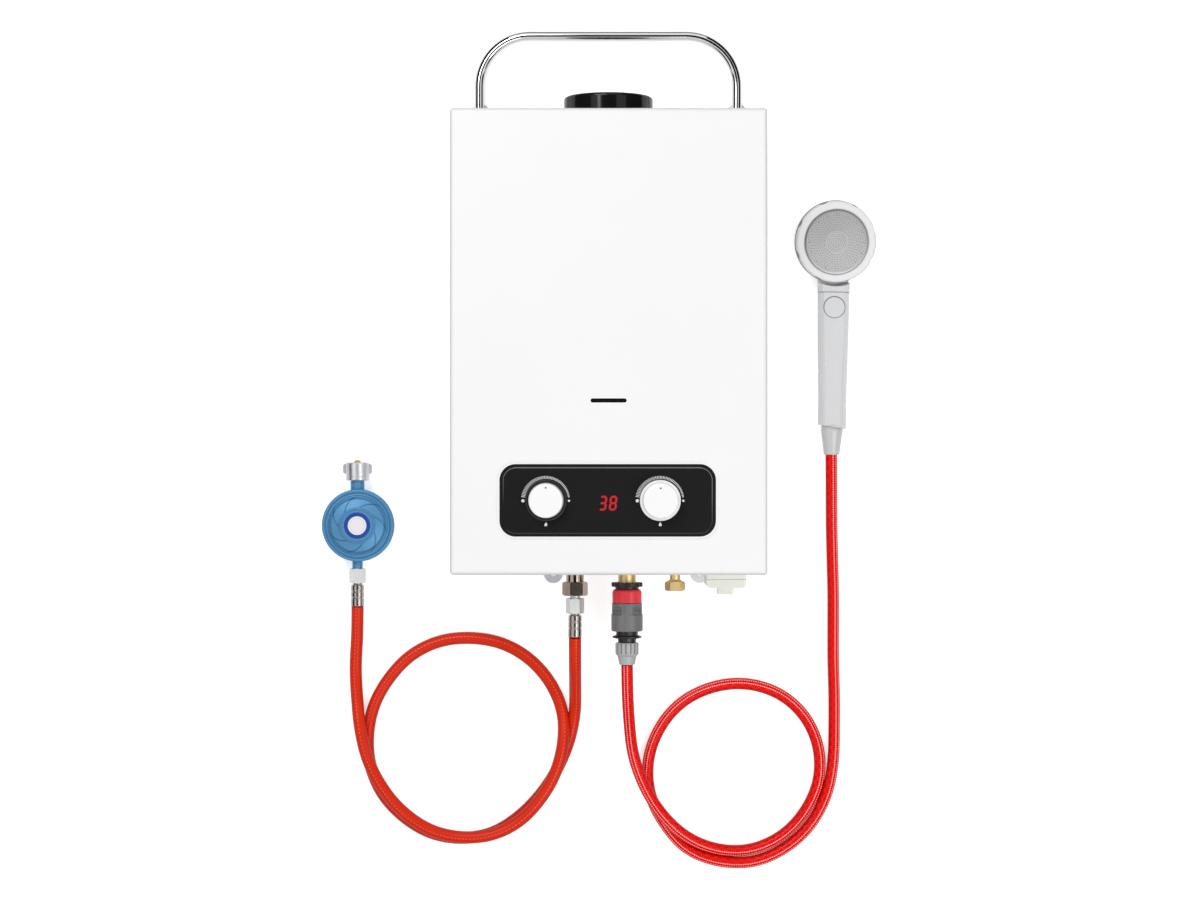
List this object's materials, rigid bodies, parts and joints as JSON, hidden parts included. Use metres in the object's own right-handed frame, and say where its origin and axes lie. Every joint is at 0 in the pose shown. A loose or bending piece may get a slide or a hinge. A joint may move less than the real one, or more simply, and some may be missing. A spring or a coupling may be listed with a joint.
{
  "type": "portable gas water heater",
  "caption": "White box-shaped portable gas water heater lying on its back, with a fold-down carry handle, flue cap, control knobs, gas line with regulator, and shower hose with handset.",
  "frame": {"origin": "middle of the back face, which lies on the table", "axes": "+X across the casing to the battery box side, +Y from the fittings to the carry handle, +Z from the back to the front panel"},
  "size_m": [0.5801, 0.88, 0.1515],
  "materials": {
    "white_enamel": "smooth satin enamel",
    "galvanised": "galvanised sheet, spangled",
    "chrome": "polished",
    "zinc_steel": "zinc plated",
    "black_enamel": "gloss enamel",
    "copper": "bright copper",
    "stainless": "brushed stainless",
    "cast_aluminium": "as cast",
    "porcelain": "glazed ceramic",
    "dark_plastic": "matte",
    "brass": "turned brass",
    "circuit_board": "lacquered board",
    "dark_glass": "dark",
    "panel_gloss": "gloss",
    "red_display": "lit segments",
    "ring_grey": "satin",
    "knob_white": "satin gloss",
    "ivory_plastic": "milky, satin",
    "battery_steel": "printed steel jacket left plain",
    "connector_black": "satin",
    "connector_red": "satin",
    "connector_grey": "satin",
    "hose_nut_grey": "satin",
    "shower_hose_red": "clear gloss over a braid",
    "nickel": "nickel plated",
    "zinc_plate": "bright zinc plate",
    "ferrule_steel": "crimped and polished",
    "gas_hose_orange": "satin rubber",
    "regulator_blue": "metallic paint",
    "badge_blue": "bare printed disc",
    "handset_white": "satin gloss",
    "handset_grey": "satin",
    "handset_ring_white": "satin gloss",
    "spray_steel": "spun face with fine holes"
  },
  "bodies": {
    "casing": {"back_panel": "galvanised", "front_cover": "white_enamel", "bottom_plate": "white_enamel", "handle_brackets": "zinc_steel", "handle_pins": "zinc_steel", "flue_cap": "black_enamel", "flue_hood": "galvanised", "exchanger_shell": "copper", "exchanger_fins": "copper", "water_coil": "copper", "burner_frame": "galvanised", "burner_bars": "stainless", "gas_manifold": "cast_aluminium", "electrodes": "porcelain", "spark_igniter": "dark_plastic", "gas_valve": "cast_aluminium", "water_valve": "brass", "gas_pipe": "zinc_steel", "control_board": "circuit_board", "window_lens": "dark_glass", "panel_frame": "white_enamel", "control_fascia": "panel_gloss", "display_digits": "red_display", "gas_knob_ring": "ring_grey", "battery_box": "ivory_plastic", "batteries": "battery_steel", "casing_screws": "zinc_steel", "cold_inlet": "brass", "hot_outlet": "brass", "tap_adaptor": "connector_black", "connector_body": "connector_black", "connector_collar": "connector_red", "hose_nut": "hose_nut_grey", "shower_hose": "shower_hose_red", "gas_inlet": "zinc_steel", "gas_union_nut": "nickel", "gas_hose_nut": "zinc_plate", "gas_hose_ferrule": "ferrule_steel", "gas_hose": "gas_hose_orange", "regulator_ferrule": "ferrule_steel", "regulator_hose_nut": "zinc_plate", "regulator_body": "regulator_blue", "regulator_cover": "regulator_blue", "regulator_badge": "badge_blue", "regulator_nipple": "brass", "handset_body": "handset_white", "handset_head": "handset_white", "handset_collar": "handset_grey", "handset_ring": "handset_ring_white", "spray_plate": "spray_steel", "handset_cone": "handset_white"},
    "handle": {"handle": "chrome"},
    "gas_knob": {"gas_knob": "knob_white", "gas_spindle": "zinc_steel"},
    "water_knob": {"water_knob": "knob_white", "water_spindle": "zinc_steel"},
    "handset_button": {"handset_button": "handset_white"},
    "wing_nut": {"regulator_wing_nut": "zinc_plate"},
    "release_sleeve": {"connector_sleeve": "connector_grey"},
    "battery_lid": {"battery_lid": "ivory_plastic"}
  },
  "joints": [
    {"name": "handle_fold", "type": "hinge", "parent": "casing", "child": "handle", "pos_m": [0, 0.243, 0.0085], "axis": [1, 0, 0], "range_deg": [0, 78.5]},
    {"name": "gas_knob_turn", "type": "hinge", "parent": "casing", "child": "gas_knob", "pos_m": [-0.0629, -0.1598, 0.14], "axis": [0, 0, 1], "range_deg": [-90, 90]},
    {"name": "water_knob_turn", "type": "hinge", "parent": "casing", "child": "water_knob", "pos_m": [0.0519, -0.1598, 0.14], "axis": [0, 0, 1], "range_deg": [-90, 90]},
    {"name": "handset_button_press", "type": "slide", "parent": "casing", "child": "handset_button", "axis": [0, 0, -1], "range_m": [0, 0.0015], "stiffness_N_per_m": 600, "springref_m": -0.001},
    {"name": "wing_nut_turn", "type": "hinge", "parent": "casing", "child": "wing_nut", "pos_m": [-0.263, -0.1318, 0.017], "axis": [0, 1, 0], "continuous": true},
    {"name": "release_sleeve_pull", "type": "slide", "parent": "casing", "child": "release_sleeve", "axis": [0, -1, 0], "range_m": [0, 0.004], "stiffness_N_per_m": 500, "springref_m": -0.002},
    {"name": "battery_lid_open", "type": "hinge", "parent": "casing", "child": "battery_lid", "pos_m": [0.1203, -0.2436, 0.0429], "axis": [1, 0, 0], "range_deg": [0, 95]}
  ]
}
